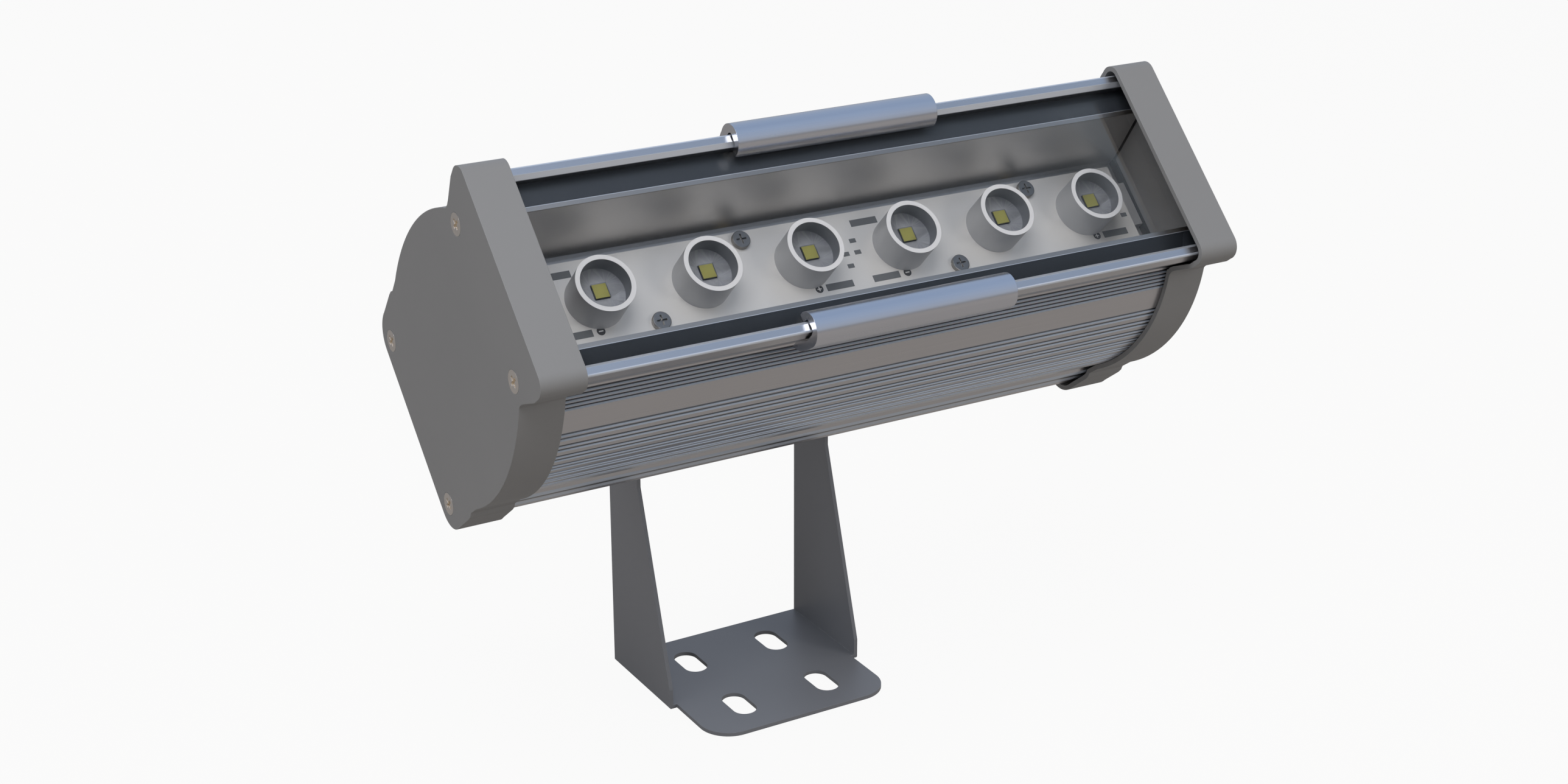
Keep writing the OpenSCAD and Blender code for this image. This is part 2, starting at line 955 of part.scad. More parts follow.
module driver_board() {
    color([0.12, 0.36, 0.20])
        lamp()
            difference() {
                translate([driver_x - driver_len / 2, driver_front, -driver_half])
                    cube([driver_len, driver_t, 2 * driver_half]);
                at_driver_corners(driver_front - over)
                    cylinder(h = driver_t + 2 * over, r = m3_r + board_hole_gap);
            }
}

// Transformer, two capacitors and a terminal block on the driver's board
module driver_parts() {
    core = [driver_len * 0.2, driver_half * 0.55, driver_half * 1.1];
    block = [driver_len * 0.08, driver_half * 0.4, driver_half * 0.8];
    can_r = driver_half * 0.24;
    color([0.20, 0.20, 0.22])
        lamp() {
            translate([driver_x - core[0] / 2, driver_back, -core[2] / 2])
                cube(core);
            translate([driver_x - driver_len * 0.42, driver_back, -block[2] / 2])
                cube(block);
            for (u = [-1, 1])
                rearwards(driver_x + driver_len * 0.28, driver_back, u * can_r * 1.4)
                    cylinder(h = driver_half * 0.8, r = can_r);
        }
}

module driver_standoffs() {
    color([0.80, 0.66, 0.36])
        lamp()
            at_driver_corners(bay_front)
                ring(standoff_r, m3_r + spacer_bore_gap, standoff_h);
}

module driver_screws() {
    color(steel)
        lamp()
            at_driver_corners(driver_back)
                rotate([180, 0, 0]) {
                    cross_head(m3_head_r, m3_head_h);
                    cylinder(h = driver_t + standoff_h * 0.7, r = m3_r);
                }
}

// Gland body: flange outside the right cap, thread through its plate
module gland_body() {
    flange_x = lamp_len / 2;
    color([0.62, 0.60, 0.56])
        lamp()
            difference() {
                union() {
                    endwards(flange_x, gland_d, 0)
                        hex(gland_flats, gland_flange_h);
                    endwards(flange_x - cap_plate - gland_nut_t - over, gland_d, 0)
                        cylinder(h = cap_plate + gland_nut_t + 2 * over, r = gland_r);
                    endwards(flange_x + gland_flange_h - over, gland_d, 0)
                        cylinder(h = gland_thread_out + over, r = gland_r);
                }
                endwards(flange_x - cap_plate - gland_nut_t - 2 * over, gland_d, 0)
                    cylinder(h = cap_plate + gland_nut_t + gland_flange_h + 3 * over,
                             r = cable_r + gland_lip);
                endwards(flange_x + gland_flange_h, gland_d, 0)
                    cylinder(h = gland_thread_out + over, r = gland_bush_r + port_gap);
            }
}

// Rubber bush that grips a cable
module gland_bush() {
    color(rubber_black)
        lamp()
            endwards(lamp_len / 2 + gland_flange_h, gland_d, 0)
                ring(gland_bush_r, cable_r, gland_thread_out + gland_lip);
}

// Domed clamping nut over the bush
module gland_dome_nut() {
    nut_x = lamp_len / 2 + gland_flange_h;
    dome_h = gland_nut_h * 0.5;
    color([0.62, 0.60, 0.56])
        lamp()
            difference() {
                union() {
                    endwards(nut_x, gland_d, 0)
                        hex(gland_flats, gland_nut_h - dome_h);
                    endwards(nut_x + gland_nut_h - dome_h, gland_d, 0)
                        cylinder(h = dome_h, r1 = gland_flats / 2, r2 = cable_r + 2 * gland_lip);
                }
                endwards(nut_x - over, gland_d, 0)
                    cylinder(h = gland_thread_out + gland_lip + over, r = gland_r + gland_hole_gap);
                endwards(nut_x, gland_d, 0)
                    cylinder(h = gland_nut_h + over, r = cable_r + gland_lip / 2);
            }
}

module gland_lock_nut() {
    color([0.62, 0.60, 0.56])
        lamp()
            endwards(cap_in - gland_nut_t, gland_d, 0)
                difference() {
                    hex(gland_flats, gland_nut_t);
                    translate([0, 0, -over])
                        cylinder(h = gland_nut_t + 2 * over, r = gland_r + port_gap);
                }
}

// Sheet folded to a U: a floor and two walls, drawn in the x-z plane and run along y
module folded_u(half_w, wall_h, y0, y1, sheet, r) {
    translate([0, y1, 0])
        rotate([90, 0, 0])
            linear_extrude(height = y1 - y0)
                difference() {
                    union() {
                        translate([-half_w, r])
                            square([2 * half_w, wall_h - r]);
                        translate([-half_w + r, 0])
                            square([2 * (half_w - r), r + over]);
                        for (side = [-1, 1])
                            translate([side * (half_w - r), r])
                                circle(r = r);
                    }
                    translate([-half_w + sheet, sheet])
                        square([2 * (half_w - sheet), wall_h]);
                }
}

// Places something on the pivot axis, running along +X from x
module on_pivot(x) {
    translate([x, pivot_y, pivot_height])
        rotate([0, 90, 0])
            children();
}

// Side view of the arms, as [y, z]
module arm_outline() {
    arm_top_front = pivot_y - arm_end_r;
    translate([pivot_y, pivot_height])
        circle(r = arm_end_r);
    polygon([
        [plate_half_depth, 0],
        [plate_half_depth, pivot_height],
        [arm_top_front, pivot_height],
        [arm_top_front, pivot_height - waist_drop],
        [-arm_front, arm_kick],
        [-arm_front, 0]
    ]);
}

// Front part of the base plate, with its round corners
module tongue() {
    inner = tongue_half - tongue_r;
    linear_extrude(height = sheet_t) {
        translate([-tongue_half, -plate_half_depth + tongue_r])
            square([2 * tongue_half, plate_half_depth - tongue_r - arm_front + over]);
        translate([-inner, -plate_half_depth])
            square([2 * inner, tongue_r + over]);
        for (side = [-1, 1])
            translate([side * inner, -plate_half_depth + tongue_r])
                circle(r = tongue_r);
    }
}

// Round-ended slot along y, centred at the origin
module slot() {
    straight = slot_len - slot_w;
    linear_extrude(height = sheet_t + 2 * over) {
        translate([-slot_w / 2, -straight / 2])
            square([slot_w, straight]);
        for (end = [-1, 1])
            translate([0, end * straight / 2])
                circle(r = slot_w / 2);
    }
}

module bracket() {
    color(sheet_grey)
        difference() {
            union() {
                intersection() {
                    folded_u(arm_half, pivot_height + 2 * arm_end_r, -arm_front, plate_half_depth, sheet_t,
                             bend_r);
                    along(-arm_half - over, arm_half + over)
                        arm_outline();
                }
                tongue();
            }
            for (x = [-1, 1], y = [-1, 1])
                translate([x * slot_half_x, y * slot_half_y, -over])
                    slot();
            on_pivot(-arm_half - over)
                cylinder(h = 2 * (arm_half + over), r = pivot_r + arm_hole_gap);
        }
}

// Places a piece of the right pivot, and its mirror image on the left
module both_pivots() {
    for (side = [0, 1])
        mirror([side, 0, 0])
            children();
}

module pivot_bolts() {
    head_x = arm_half + washer_t;
    tip_x = ear_in - nut_h - bolt_tip;
    color(steel)
        both_pivots()
            difference() {
                union() {
                    on_pivot(head_x)
                        hex(pivot_flats, bolt_head_h);
                    on_pivot(tip_x)
                        cylinder(h = head_x - tip_x + over, r = pivot_r);
                }
                on_pivot(head_x + bolt_head_h - bolt_dish)
                    cylinder(h = over, r = pivot_flats * 0.36);
            }
}

module pivot_washers() {
    color(steel)
        both_pivots()
            on_pivot(arm_half)
                ring(washer_r, pivot_r + arm_hole_gap, washer_t);
}

module friction_discs() {
    color(rubber_black)
        both_pivots()
            on_pivot(ear_out + face_gap)
                ring(disc_r, pivot_r + arm_hole_gap, disc_t - face_gap);
}

module pivot_nuts() {
    color(steel)
        both_pivots()
            on_pivot(ear_in - nut_h - face_gap)
                difference() {
                    hex(pivot_flats, nut_h);
                    translate([0, 0, -over])
                        cylinder(h = nut_h + 2 * over, r = pivot_r + port_gap);
                }
}

// Side view of the yoke's ears, as [distance behind the profile's rear face, across]
module yoke_outline() {
    reach = pivot_d - profile_rear;
    translate([reach, 0])
        circle(r = arm_end_r);
    polygon([
        [0, -yoke_half],
        [yoke_t, -yoke_half],
        [yoke_bend_r + yoke_t, -yoke_ear_half],
        [reach, -arm_end_r],
        [reach, arm_end_r],
        [yoke_bend_r + yoke_t, yoke_ear_half],
        [yoke_t, yoke_half],
        [0, yoke_half]
    ]);
}

module at_yoke_screws(d) {
    for (x = [-1, 1], u = [-1, 1])
        rearwards(x * yoke_screw_half, d, u * tslot_half)
            children();
}

module yoke() {
    color(sheet_grey)
        lamp()
            difference() {
                translate([0, profile_rear, 0])
                    intersection() {
                        rotate([-90, 0, 0])
                            folded_u(ear_out, pivot_d, -yoke_half, yoke_half, yoke_t, yoke_bend_r);
                        along(-ear_out - over, ear_out + over)
                            yoke_outline();
                    }
                at_yoke_screws(profile_rear - over)
                    cylinder(h = yoke_t + 2 * over, r = yoke_screw_r + yoke_hole_gap);
                endwards(-ear_out - over, pivot_d, 0)
                    cylinder(h = 2 * (ear_out + over), r = pivot_r + pivot_fit);
            }
}

module yoke_screws() {
    color(steel)
        lamp()
            at_yoke_screws(profile_rear + yoke_t)
                rotate([180, 0, 0]) {
                    cross_head(yoke_head_r, yoke_head_h);
                    cylinder(h = yoke_t + tslot_lip + slide_nut_t, r = yoke_screw_r);
                }
}

module yoke_slide_nuts() {
    color(steel)
        lamp()
            at_yoke_screws(profile_rear - tslot_lip - slide_nut_t)
                difference() {
                    translate([-slide_nut_half, -slide_nut_half, 0])
                        cube([2 * slide_nut_half, 2 * slide_nut_half, slide_nut_t]);
                    translate([0, 0, -over])
                        cylinder(h = slide_nut_t + 2 * over, r = yoke_screw_r + port_gap);
                }
}

bracket();
pivot_bolts();
pivot_washers();
friction_discs();
pivot_nuts();
yoke();
yoke_screws();
yoke_slide_nuts();
housing_profile();
end_cap_left();
end_cap_right();
cap_gasket_left();
cap_gasket_right();
cap_screws_left();
cap_screws_right();
front_glass();
glass_seal_upper();
glass_seal_lower();
rail_sleeve_upper();
rail_sleeve_lower();
led_board();
thermal_pad();
board_screws();
board_spacers();
led_packages();
collimator_1();
collimator_2();
collimator_3();
collimator_4();
collimator_5();
collimator_6();
lens_1();
lens_2();
lens_3();
lens_4();
lens_5();
lens_6();
board_wires();
wire_grommet();
driver_board();
driver_parts();
driver_standoffs();
driver_screws();
gland_body();
gland_bush();
gland_dome_nut();
gland_lock_nut();
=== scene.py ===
import json
import math

import bpy
from mathutils import Euler, Matrix, Vector


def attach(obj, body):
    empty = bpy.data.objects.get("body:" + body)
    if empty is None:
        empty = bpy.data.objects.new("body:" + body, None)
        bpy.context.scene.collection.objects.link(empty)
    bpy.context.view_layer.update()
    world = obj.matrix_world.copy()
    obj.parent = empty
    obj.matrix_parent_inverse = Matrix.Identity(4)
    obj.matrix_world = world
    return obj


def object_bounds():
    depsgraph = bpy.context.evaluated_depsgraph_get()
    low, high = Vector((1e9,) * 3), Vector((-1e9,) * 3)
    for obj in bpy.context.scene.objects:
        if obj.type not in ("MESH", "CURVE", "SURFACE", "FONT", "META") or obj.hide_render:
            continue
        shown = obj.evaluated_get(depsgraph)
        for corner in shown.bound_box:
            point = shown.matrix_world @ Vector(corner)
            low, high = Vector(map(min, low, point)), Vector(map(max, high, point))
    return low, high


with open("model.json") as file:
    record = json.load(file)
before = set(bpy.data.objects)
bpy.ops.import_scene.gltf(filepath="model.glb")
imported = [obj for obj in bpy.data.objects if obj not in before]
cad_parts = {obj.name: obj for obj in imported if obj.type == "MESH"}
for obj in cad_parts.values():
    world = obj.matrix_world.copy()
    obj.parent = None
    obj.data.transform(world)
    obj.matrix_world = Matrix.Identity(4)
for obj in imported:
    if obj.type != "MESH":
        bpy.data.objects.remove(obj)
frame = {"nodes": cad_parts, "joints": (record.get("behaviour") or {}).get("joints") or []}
cadBox = [list(corner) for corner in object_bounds()]
print("frame loaded:", len(frame["nodes"]), "nodes")

mm = 0.001
nodes = frame["nodes"]


# Where the lamp sits: its own frame has x along it, y across the glass and z out of the glass
lampPlace = {
    "tilt": 45,
    "pivotDepth": 164.8 * mm,
}

tiltJoint = [j for j in frame["joints"] if j["name"] == "tilt"][0]
lampMatrix = (
    Matrix.Translation(Vector(tiltJoint["pos_m"]))
    @ Matrix.Rotation(math.radians(lampPlace["tilt"]), 4, "X")
    @ Matrix.Translation((0, 0, lampPlace["pivotDepth"]))
)
frontPlace = Matrix.Rotation(math.radians(-lampPlace["tilt"]), 4, "X") @ lampMatrix.translation


# Shader maths: an output of a node that takes part in sums
class Wire:
    def __init__(self, tree, socket):
        self.tree = tree
        self.socket = socket

    def maths(self, operation, first, second):
        return self.tree.node("ShaderNodeMath", {"operation": operation}, {0: first, 1: second})

    def __add__(self, other):
        return self.maths("ADD", self, other)

    def __radd__(self, other):
        return self.maths("ADD", other, self)

    def __sub__(self, other):
        return self.maths("SUBTRACT", self, other)

    def __rsub__(self, other):
        return self.maths("SUBTRACT", other, self)

    def __mul__(self, other):
        return self.maths("MULTIPLY", self, other)

    def __rmul__(self, other):
        return self.maths("MULTIPLY", other, self)

    def __pow__(self, other):
        return self.maths("POWER", self, other)

    def __gt__(self, other):
        return self.maths("GREATER_THAN", self, other)

    def __lt__(self, other):
        return self.maths("LESS_THAN", self, other)


# The tree of a material or of the world; every node but the sums comes from its one method
class Finish:
    def __init__(self, name, owners=bpy.data.materials):
        self.owner = owners.new(name)
        self.owner.use_nodes = True
        self.tree = self.owner.node_tree
        self.tree.nodes.clear()

    def node(self, kind, settings=None, inputs=None, output=0):
        made = self.tree.nodes.new(kind)
        for key, value in (settings or {}).items():
            if key == "stops":
                self.setStops(made.color_ramp, value)
            else:
                setattr(made, key, value)
        for key, value in (inputs or {}).items():
            if isinstance(value, Wire):
                self.tree.links.new(value.socket, made.inputs[key])
            else:
                made.inputs[key].default_value = value
        return Wire(self, made.outputs[output]) if made.outputs else made

    def setStops(self, ramp, stops):
        while len(ramp.elements) < len(stops):
            ramp.elements.new(0.5)
        for element, (place, colour) in zip(ramp.elements, stops):
            element.position = place
            element.color = colour

    def place(self, scale=(1, 1, 1), tilt=0):
        coordinates = self.node("ShaderNodeTexCoord", output="Object")
        return self.node("ShaderNodeMapping", None, {
            "Vector": coordinates, "Rotation": (math.radians(tilt), 0, 0), "Scale": scale})

    # How far a point lies behind the caps' front plane, and how far from the glass's middle line
    def depthAndHalf(self):
        turned = self.place(tilt=-lampPlace["tilt"])
        height = self.node("ShaderNodeSeparateXYZ", None, {"Vector": turned}, output=2)
        across = self.node("ShaderNodeSeparateXYZ", None, {"Vector": turned}, output=1)
        depth = frontPlace[2] - height
        across = across - frontPlace[1]
        return depth, self.node("ShaderNodeMath", {"operation": "ABSOLUTE"}, {0: across})

    def noise(self, place, scale, detail=2.0, rough=0.5):
        return self.node("ShaderNodeTexNoise", None, {
            "Vector": place, "Scale": scale, "Detail": detail, "Roughness": rough}, output=0)

    def mixColour(self, factor, first, second):
        return self.node("ShaderNodeMix", {"data_type": "RGBA"}, {
            0: factor, 6: first, 7: second}, output=2)

    def finish(self, shader):
        self.node("ShaderNodeOutputMaterial", None, {"Surface": shader})
        return self.owner


# sRGB bytes to the linear colour that the shader takes
def rgb(red, green, blue):
    def linear(byte):
        share = byte / 255
        return share / 12.92 if share <= 0.04045 else ((share + 0.055) / 1.055) ** 2.4
    return (linear(red), linear(green), linear(blue), 1.0)


# Fine-grain paint on the cast caps
capPaint = {
    "colour": rgb(131, 131, 131),
    "darker": rgb(124, 124, 124),
    "roughness": 0.5,
    "edgeRound": 0.35 * mm,
    "wear": rgb(158, 158, 158),
}

# Smooth matt powder coat on the folded sheets
sheetPaint = {
    "colour": rgb(121, 123, 128),
    "darker": rgb(113, 115, 120),
    "roughness": 0.38,
    "edgeRound": 0.25 * mm,
    "wear": rgb(146, 148, 152),
}

# What both paints share: cloudy tone, fine grain and pale worn edges
paintGrain = {
    "broadScale": 14,
    "grainScale": 1900,
    "wearScale": 260,
    "wearShare": 6,
    "bump": 0.16,
    "bumpDistance": 0.08 * mm,
    "rougher": 0.06,
    "ior": 1.5,
}


def paintFinish(name, values):
    paint = Finish(name)
    place = paint.place()
    broad = paint.noise(place, paintGrain["broadScale"], detail=3)
    grain = paint.noise(place, paintGrain["grainScale"], detail=2, rough=0.6)
    colour = paint.mixColour(broad, values["colour"], values["darker"])
    edge = paint.node("ShaderNodeBevel", {"samples": 4}, {"Radius": values["edgeRound"]})
    plain = paint.node("ShaderNodeNewGeometry", output="Normal")
    flatness = paint.node("ShaderNodeVectorMath", {"operation": "DOT_PRODUCT"}, {
        0: edge, 1: plain}, output="Value")
    patches = paint.noise(place, paintGrain["wearScale"], detail=3, rough=0.7)
    worn = (1 - flatness) * paintGrain["wearShare"] * patches
    worn = paint.node("ShaderNodeMath", {"operation": "MINIMUM"}, {0: worn, 1: 1.0})
    colour = paint.mixColour(worn, colour, values["wear"])
    bump = paint.node("ShaderNodeBump", None, {
        "Strength": paintGrain["bump"], "Distance": paintGrain["bumpDistance"], "Height": grain,
        "Normal": edge})
    shader = paint.node("ShaderNodeBsdfPrincipled", None, {
        "Base Color": colour, "Roughness": values["roughness"] + broad * paintGrain["rougher"],
        "Normal": bump, "IOR": paintGrain["ior"]})
    return paint.finish(shader)


# Metals: the drawn ones carry fine lines along the lamp
metalLooks = {
    "profileAluminium": {
        "colour": rgb(205, 203, 204), "darker": rgb(192, 191, 192), "roughness": 0.25,
        "lines": (6, 1700, 1700), "edgeRound": 0.12 * mm, "bump": 0.06},
    "sleeveAluminium": {
        "colour": rgb(214, 215, 220), "darker": rgb(202, 204, 210), "roughness": 0.22,
        "lines": (6, 1500, 1500), "edgeRound": 0.2 * mm, "bump": 0.05},
    "screwSteel": {
        "colour": rgb(224, 219, 214), "darker": rgb(206, 201, 196), "roughness": 0.32,
        "lines": (900, 900, 900), "edgeRound": 0.12 * mm, "bump": 0.1},
    "boardScrewSteel": {
        "colour": rgb(150, 147, 143), "darker": rgb(124, 122, 119), "roughness": 0.34,
        "lines": (900, 900, 900), "edgeRound": 0.12 * mm, "bump": 0.1},
    "boltSteel": {
        "colour": rgb(176, 175, 173), "darker": rgb(152, 151, 149), "roughness": 0.33,
        "lines": (700, 700, 700), "edgeRound": 0.2 * mm, "bump": 0.12},
    "glandNickel": {
        "colour": rgb(188, 184, 174), "darker": rgb(168, 164, 154), "roughness": 0.28,
        "lines": (800, 800, 800), "edgeRound": 0.2 * mm, "bump": 0.08},
    "spacerBrass": {
        "colour": rgb(214, 184, 116), "darker": rgb(190, 158, 92), "roughness": 0.3,
        "lines": (900, 900, 900), "edgeRound": 0.1 * mm, "bump": 0.08},
}

metalGrain = {
    "lineShare": 0.5,
    "lineRougher": 0.08,
    "broadScale": 22,
    "bumpDistance": 0.05 * mm,
}

# Painted reflection: the recesses in the cap screws, behind the plane of their heads, get a pale cream,
# less metallic colour that stands in for warm light reflected inside them
paintedRecessReflection = {
    "faceX": 144.45 * mm,
    "colour": rgb(226, 214, 196),
    "metallic": 0.4,
}

# The chamber's walls, and the ledge that the pane lies on, which gets a darker colour as painted shade
# under the seal
chamberLook = {
    "colour": rgb(211, 209, 207),
    "ledge": rgb(172, 168, 163),
    "depth": 9 * mm,
    "ledgeDepth": 11 * mm,
    "half": 34.6 * mm,
    "rougher": 0.12,
}

# Cooling grooves in the flanks, measured inwards from the arc of their crests:
# each wall gets a pale, bluish, less metallic strip as a painted sky reflection, and the bottom a darker
# colour as painted shade
grooveLook = {
    "centreDepth": 64 * mm,
    "centreHalf": -20.9 * mm,
    "crest": 70 * mm,
    "front": 22.6 * mm,
    "rear": 96 * mm,
    "half": 35 * mm,
    "skin": 0.03 * mm,
    "deepest": 1.1 * mm,
    "stripMost": 0.8 * mm,
    "stripAtFront": 1.26 * mm,
    "stripFall": 0.0135,
    "paintedSheen": rgb(188, 198, 211),
    "stripMetal": 0.1,
    "paintedShade": rgb(158, 158, 160),
    "fineRear": 32 * mm,
    "paintedFineShade": rgb(98, 98, 100),
}

# Painted shading on the flat rear lobes: a painted shade line, and painted reflection strips like the
# grooves', each from a depth to a depth
lobeLook = {
    "half": 38 * mm,
    "strips": [(97.3 * mm, 101.2 * mm), (104 * mm, 108.8 * mm)],
    "line": (101.2 * mm, 103.4 * mm),
    "paintedShade": rgb(110, 110, 112),
}

# Painted highlights: bright, less metallic lines along the rails' edges, each given by nearest and
# farthest from the glass's middle line, and deepest
paintedRailHighlights = {
    "colour": rgb(208, 213, 221),
    "metallic": 0.55,
    "places": [(35.2 * mm, 36.9 * mm, 6.3 * mm), (39.3 * mm, 41 * mm, 5.2 * mm),
               (27.25 * mm, 27.6 * mm, 11 * mm)],
}


# The grooves, and the part of them that is bottom and not wall, where the painted shade goes
def grooveZones(metal, depth, half):
    besideCentre = half - grooveLook["centreHalf"]
    behindCentre = depth - grooveLook["centreDepth"]
    sunk = grooveLook["crest"] - (besideCentre * besideCentre + behindCentre * behindCentre) ** 0.5
    limit = metal.node("ShaderNodeMath", {"operation": "MINIMUM"}, {
        0: grooveLook["stripAtFront"] - depth * grooveLook["stripFall"], 1: grooveLook["stripMost"]})
    groove = (sunk > grooveLook["skin"]) * (1 - (sunk > grooveLook["deepest"]))
    groove = groove * (half > grooveLook["half"])
    groove = groove * (depth > grooveLook["front"]) * (1 - (depth > grooveLook["rear"]))
    return groove, sunk > limit


# Paints the pale reflection into the screw recesses
def paintRecessReflection(metal, colour):
    along = metal.node("ShaderNodeSeparateXYZ", None, {"Vector": metal.place()}, output=0)
    sunk = paintedRecessReflection["faceX"] > metal.node("ShaderNodeMath", {"operation": "ABSOLUTE"}, {0: along})
    return metal.mixColour(sunk, colour, paintedRecessReflection["colour"]), 1 - sunk * (1 - paintedRecessReflection["metallic"])


# The profile's own zones: chamber with a painted shade on its ledge, grooves and lobes with painted
# reflection strips and painted shade, and rails with painted highlights
def profileZones(metal, colour, roughness):
    depth, half = metal.depthAndHalf()
    inside = (depth > chamberLook["depth"]) * (1 - (half > chamberLook["half"]))
    # Painted shade: the ledge under the seal is darker than the walls
    wall = metal.mixColour(depth > chamberLook["ledgeDepth"], chamberLook["ledge"], chamberLook["colour"])
    colour = metal.mixColour(inside, colour, wall)
    roughness = roughness + inside * chamberLook["rougher"]
    groove, bottom = grooveZones(metal, depth, half)
    # Painted sky reflection on the groove walls, and painted shade in their bottoms, darker in the fine
    # grooves
    paintedShade = metal.mixColour(depth < grooveLook["fineRear"], grooveLook["paintedShade"], grooveLook["paintedFineShade"])
    colour = metal.mixColour(groove, colour, metal.mixColour(bottom, grooveLook["paintedSheen"], paintedShade))
    lessMetal = 1 - grooveLook["stripMetal"]
    metallic = 1 - groove * (1 - bottom) * lessMetal
    # Painted reflection strips and a painted shade line on the flat rear lobes
    for nearer, farther in lobeLook["strips"]:
        paintedSheen = (depth > nearer) * (depth < farther) * (half > lobeLook["half"])
        colour = metal.mixColour(paintedSheen, colour, grooveLook["paintedSheen"])
        metallic = metallic * (1 - paintedSheen * lessMetal)
    nearer, farther = lobeLook["line"]
    line = (depth > nearer) * (depth < farther) * (half > lobeLook["half"])
    colour = metal.mixColour(line, colour, lobeLook["paintedShade"])
    # Painted highlights along the rail edges
    for nearer, farther, deepest in paintedRailHighlights["places"]:
        railHighlight = (half > nearer) * (1 - (half > farther)) * (1 - (depth > deepest))
        colour = metal.mixColour(railHighlight, colour, paintedRailHighlights["colour"])
        metallic = metallic * (1 - railHighlight * (1 - paintedRailHighlights["metallic"]))
    return colour, roughness, metallic


def metalFinish(name):
    values = metalLooks[name]
    metal = Finish(name)
    lines = metal.noise(metal.place(values["lines"], -lampPlace["tilt"]), 1, detail=3, rough=0.6)
    broad = metal.noise(metal.place(), metalGrain["broadScale"])
    tone = lines * metalGrain["lineShare"] + broad * (1 - metalGrain["lineShare"])
    colour = metal.mixColour(tone, values["colour"], values["darker"])
    roughness = values["roughness"] + lines * metalGrain["lineRougher"]
    metallic = 1.0
    if name == "screwSteel":
        # Painted reflection in the screw recesses
        colour, metallic = paintRecessReflection(metal, colour)
    if name == "profileAluminium":
        colour, roughness, metallic = profileZones(metal, colour, roughness)
    edge = metal.node("ShaderNodeBevel", {"samples": 4}, {"Radius": values["edgeRound"]})
    bump = metal.node("ShaderNodeBump", None, {
        "Strength": values["bump"], "Distance": metalGrain["bumpDistance"], "Height": lines,
        "Normal": edge})
    shader = metal.node("ShaderNodeBsdfPrincipled", None, {
        "Base Color": colour, "Metallic": metallic, "Roughness": roughness, "Normal": bump})
    return metal.finish(shader)


# Rubbers and plastics, each with its grain
softLooks = {
    "sealSilicone": {"colour": rgb(53, 58, 64), "darker": rgb(47, 51, 57),
                     "roughness": 0.42, "grain": 700, "bump": 0.05},
    "gasketRubber": {"colour": rgb(38, 38, 40), "darker": rgb(30, 30, 32),
                     "roughness": 0.6, "grain": 1400, "bump": 0.2},
    "frictionFibre": {"colour": rgb(48, 45, 42), "darker": rgb(34, 32, 30),
                      "roughness": 0.75, "grain": 900, "bump": 0.4},
    "thermalFilm": {"colour": rgb(120, 134, 160), "darker": rgb(108, 122, 148),
                    "roughness": 0.6, "grain": 900, "bump": 0.1},
    "wireCover": {"colour": rgb(176, 40, 34), "darker": rgb(158, 32, 28),
                  "roughness": 0.4, "grain": 500, "bump": 0.05},
    "driverGreen": {"colour": rgb(30, 92, 52), "darker": rgb(22, 76, 42),
                    "roughness": 0.35, "grain": 500, "bump": 0.05},
    "driverBlack": {"colour": rgb(44, 44, 48), "darker": rgb(34, 34, 38),
                    "roughness": 0.5, "grain": 800, "bump": 0.1},
    "padTin": {"colour": rgb(100, 102, 104), "darker": rgb(92, 94, 96),
               "roughness": 0.4, "grain": 900, "bump": 0.05},
    "markInk": {"colour": rgb(64, 64, 66), "darker": rgb(58, 58, 60),
                "roughness": 0.5, "grain": 900, "bump": 0.02},
    "markWhite": {"colour": rgb(222, 222, 222), "darker": rgb(214, 214, 214),
                  "roughness": 0.5, "grain": 900, "bump": 0.02},
}

softGrain = {
    "broadScale": 30,
    "bumpDistance": 0.05 * mm,
    "rougher": 0.05,
}


def softFinish(name):
    values = softLooks[name]
    soft = Finish(name)
    place = soft.place()
    grain = soft.noise(place, values["grain"], detail=3, rough=0.6)
    broad = soft.noise(place, softGrain["broadScale"])
    colour = soft.mixColour(broad, values["colour"], values["darker"])
    bump = soft.node("ShaderNodeBump", None, {
        "Strength": values["bump"], "Distance": softGrain["bumpDistance"], "Height": grain})
    shader = soft.node("ShaderNodeBsdfPrincipled", None, {
        "Base Color": colour, "Roughness": values["roughness"] + grain * softGrain["rougher"],
        "Normal": bump})
    return soft.finish(shader)


# Satin aluminium tube whose front ring is left white
tubeLook = {
    "ringDepth": 22.4 * mm,
    "ringColour": rgb(220, 220, 221),
    "colour": rgb(182, 182, 183),
    "darker": rgb(173, 174, 176),
    "roughness": 0.5,
    "rougher": 0.06,
    "metallic": 0.4,
    "grainScale": 900,
    "broadScale": 60,
    "bump": 0.04,
    "bumpDistance": 0.03 * mm,
}


def tubeFinish():
    tube = Finish("collimatorSatin")
    place = tube.place()
    grain = tube.noise(place, tubeLook["grainScale"])
    broad = tube.noise(place, tubeLook["broadScale"])
    side = tube.depthAndHalf()[0] > tubeLook["ringDepth"]
    satin = tube.mixColour(broad, tubeLook["colour"], tubeLook["darker"])
    bump = tube.node("ShaderNodeBump", None, {
        "Strength": tubeLook["bump"], "Distance": tubeLook["bumpDistance"], "Height": grain})
    shader = tube.node("ShaderNodeBsdfPrincipled", None, {
        "Base Color": tube.mixColour(side, tubeLook["ringColour"], satin),
        "Metallic": side * tubeLook["metallic"],
        "Roughness": tubeLook["roughness"] + grain * tubeLook["rougher"],
        "Normal": bump})
    return tube.finish(shader)


# White solder mask with a satin sheen
boardLook = {
    "colour": rgb(221, 218, 213),
    "darker": rgb(212, 209, 204),
    "roughness": 0.4,
    "rougher": 0.05,
    "metallic": 0.35,
    "weaveScale": 1200,
    "broadScale": 20,
    "bump": 0.05,
    "bumpDistance": 0.04 * mm,
}


